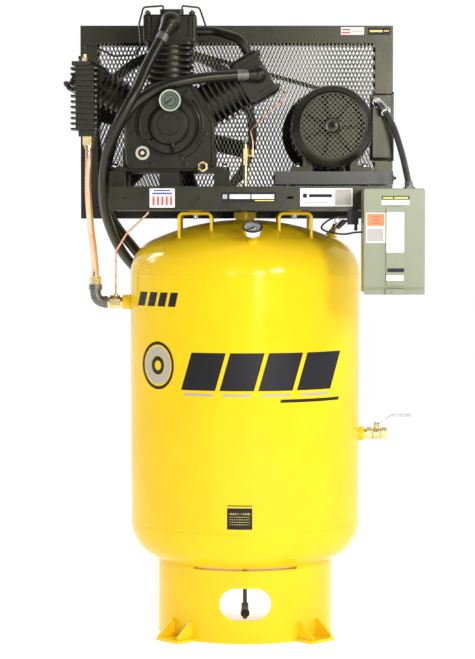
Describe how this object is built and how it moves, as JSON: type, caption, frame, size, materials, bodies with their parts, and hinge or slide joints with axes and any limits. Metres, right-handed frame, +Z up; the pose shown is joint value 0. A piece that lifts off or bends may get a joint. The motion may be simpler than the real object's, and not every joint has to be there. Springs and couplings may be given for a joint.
{
  "type": "vertical tank air compressor",
  "caption": "Upright air receiver on a skirt with a belt-driven piston compressor, electric motor, mesh belt guard and starter on a platform over its top head.",
  "frame": {"origin": "centre of the feet's bolt circle, on the floor", "axes": "+Z up along the receiver, -Y towards the front, +X towards the motor side"},
  "size_m": [1.1533, 1.074, 2.0686],
  "materials": {
    "yellow_paint": "gloss enamel",
    "black_paint": "satin powder coat",
    "pump_black": "painted casting",
    "starter_paint": "semi-gloss enamel",
    "brass": "turned",
    "copper": "drawn tube",
    "zinc": "zinc plated",
    "galvanised": "malleable, zinc plated",
    "chrome": "polished",
    "steel": "machined",
    "aluminium": "cast and turned",
    "rubber": "matt",
    "grey_conduit": "jacketed",
    "black_plastic": "moulded"
  },
  "bodies": {
    "frame": {"aftercooler": "black_paint", "base_skirt": "yellow_paint", "black_air_lines": "rubber", "brass_fittings": "brass", "control_cord": "rubber", "copper_lines": "copper", "crankcase": "pump_black", "cylinder_centre": "pump_black", "cylinder_left": "pump_black", "cylinder_right": "pump_black", "discharge_tube": "copper", "drain_pipe": "galvanised", "drive_belts": "rubber", "fasteners": "zinc", "front_bearing_cover": "pump_black", "guard_frame": "black_paint", "guard_mesh": "black_paint", "head_centre": "pump_black", "head_left": "pump_black", "head_right": "pump_black", "inlet_check_valve": "brass", "intake_hose_high": "rubber", "intake_hose_low": "rubber", "intake_silencer": "black_paint", "junction_block": "black_plastic", "motor_conduit": "grey_conduit", "motor_conduit_box": "black_paint", "motor_fan_cover": "black_paint", "motor_frame": "black_paint", "motor_slide_base": "black_paint", "motor_stator": "steel", "mounting_platform": "black_paint", "oil_gauge": "chrome", "outlet_valve_body": "brass", "pilot_valve": "brass", "plated_fittings": "galvanised", "safety_valve": "brass", "skirt_feet": "yellow_paint", "starter_contactor": "black_plastic", "starter_enclosure": "starter_paint", "support_hoops": "yellow_paint", "tank_bottom_head": "yellow_paint", "tank_couplings": "yellow_paint", "tank_gauge": "chrome", "tank_shell": "yellow_paint", "tank_top_head": "yellow_paint"},
    "crank": {"crankshaft": "steel", "flywheel": "pump_black"},
    "motor_spindle": {"motor_rotor": "steel", "motor_sheave": "pump_black"},
    "piston_left": {"piston_left": "aluminium"},
    "piston_centre": {"piston_centre": "aluminium"},
    "piston_right": {"piston_right": "aluminium"},
    "outlet_lever": {"outlet_valve_lever": "steel"},
    "drain_knob": {"drain_cock": "black_plastic"},
    "starter_door": {"starter_cover": "starter_paint"},
    "tank_needle": {"tank_gauge_needle": "black_plastic"},
    "oil_needle": {"oil_gauge_needle": "black_plastic"},
    "valve_ring": {"safety_valve_ring": "steel"},
    "pilot_toggle": {"pilot_valve_toggle": "steel"}
  },
  "joints": [
    {"name": "crank_spin", "type": "hinge", "parent": "frame", "child": "crank", "pos_m": [-0.244, 0, 1.669], "axis": [0, 1, 0], "continuous": true},
    {"name": "motor_spin", "type": "hinge", "parent": "frame", "child": "motor_spindle", "pos_m": [0.278, 0, 1.664], "axis": [0, 1, 0], "continuous": true},
    {"name": "piston_left_stroke", "type": "slide", "parent": "frame", "child": "piston_left", "axis": [0.866, 0, -0.5], "range_m": [-0.02, 0.049]},
    {"name": "piston_centre_stroke", "type": "slide", "parent": "frame", "child": "piston_centre", "axis": [0, 0, -1], "range_m": [0, 0.07]},
    {"name": "piston_right_stroke", "type": "slide", "parent": "frame", "child": "piston_right", "axis": [-0.866, 0, -0.5], "range_m": [-0.02, 0.049]},
    {"name": "outlet_lever_turn", "type": "hinge", "parent": "frame", "child": "outlet_lever", "pos_m": [0.44, 0, 0.653], "axis": [0, 0, 1], "range_deg": [-90, 0]},
    {"name": "drain_knob_turn", "type": "hinge", "parent": "frame", "child": "drain_knob", "pos_m": [0, -0.0845, 0.067], "axis": [0, -1, 0], "range_deg": [0, 270]},
    {"name": "starter_door_lift", "type": "hinge", "parent": "frame", "child": "starter_door", "pos_m": [0.4625, -0.4565, 1.459], "axis": [-1, 0, 0], "range_deg": [0, 100]},
    {"name": "tank_needle_sweep", "type": "hinge", "parent": "frame", "child": "tank_needle", "pos_m": [0.023, -0.3372, 1.32392], "axis": [0, 0.53, -0.848], "range_deg": [0, 260]},
    {"name": "oil_needle_sweep", "type": "hinge", "parent": "frame", "child": "oil_needle", "pos_m": [-0.239, -0.298, 1.743], "axis": [0, 1, 0], "range_deg": [0, 260]},
    {"name": "valve_ring_pull", "type": "slide", "parent": "frame", "child": "valve_ring", "axis": [0.378, 0.1312, 0.9165], "range_m": [0, 0.003], "stiffness_N_per_m": 2000},
    {"name": "pilot_toggle_turn", "type": "hinge", "parent": "frame", "child": "pilot_toggle", "pos_m": [0.001, -0.15, 1.603], "axis": [0, 0, 1], "range_deg": [0, 90]}
  ],
  "couplings": [
    {"joint": "motor_spin", "follows": "crank_spin", "ratio": 1.9614}
  ]
}
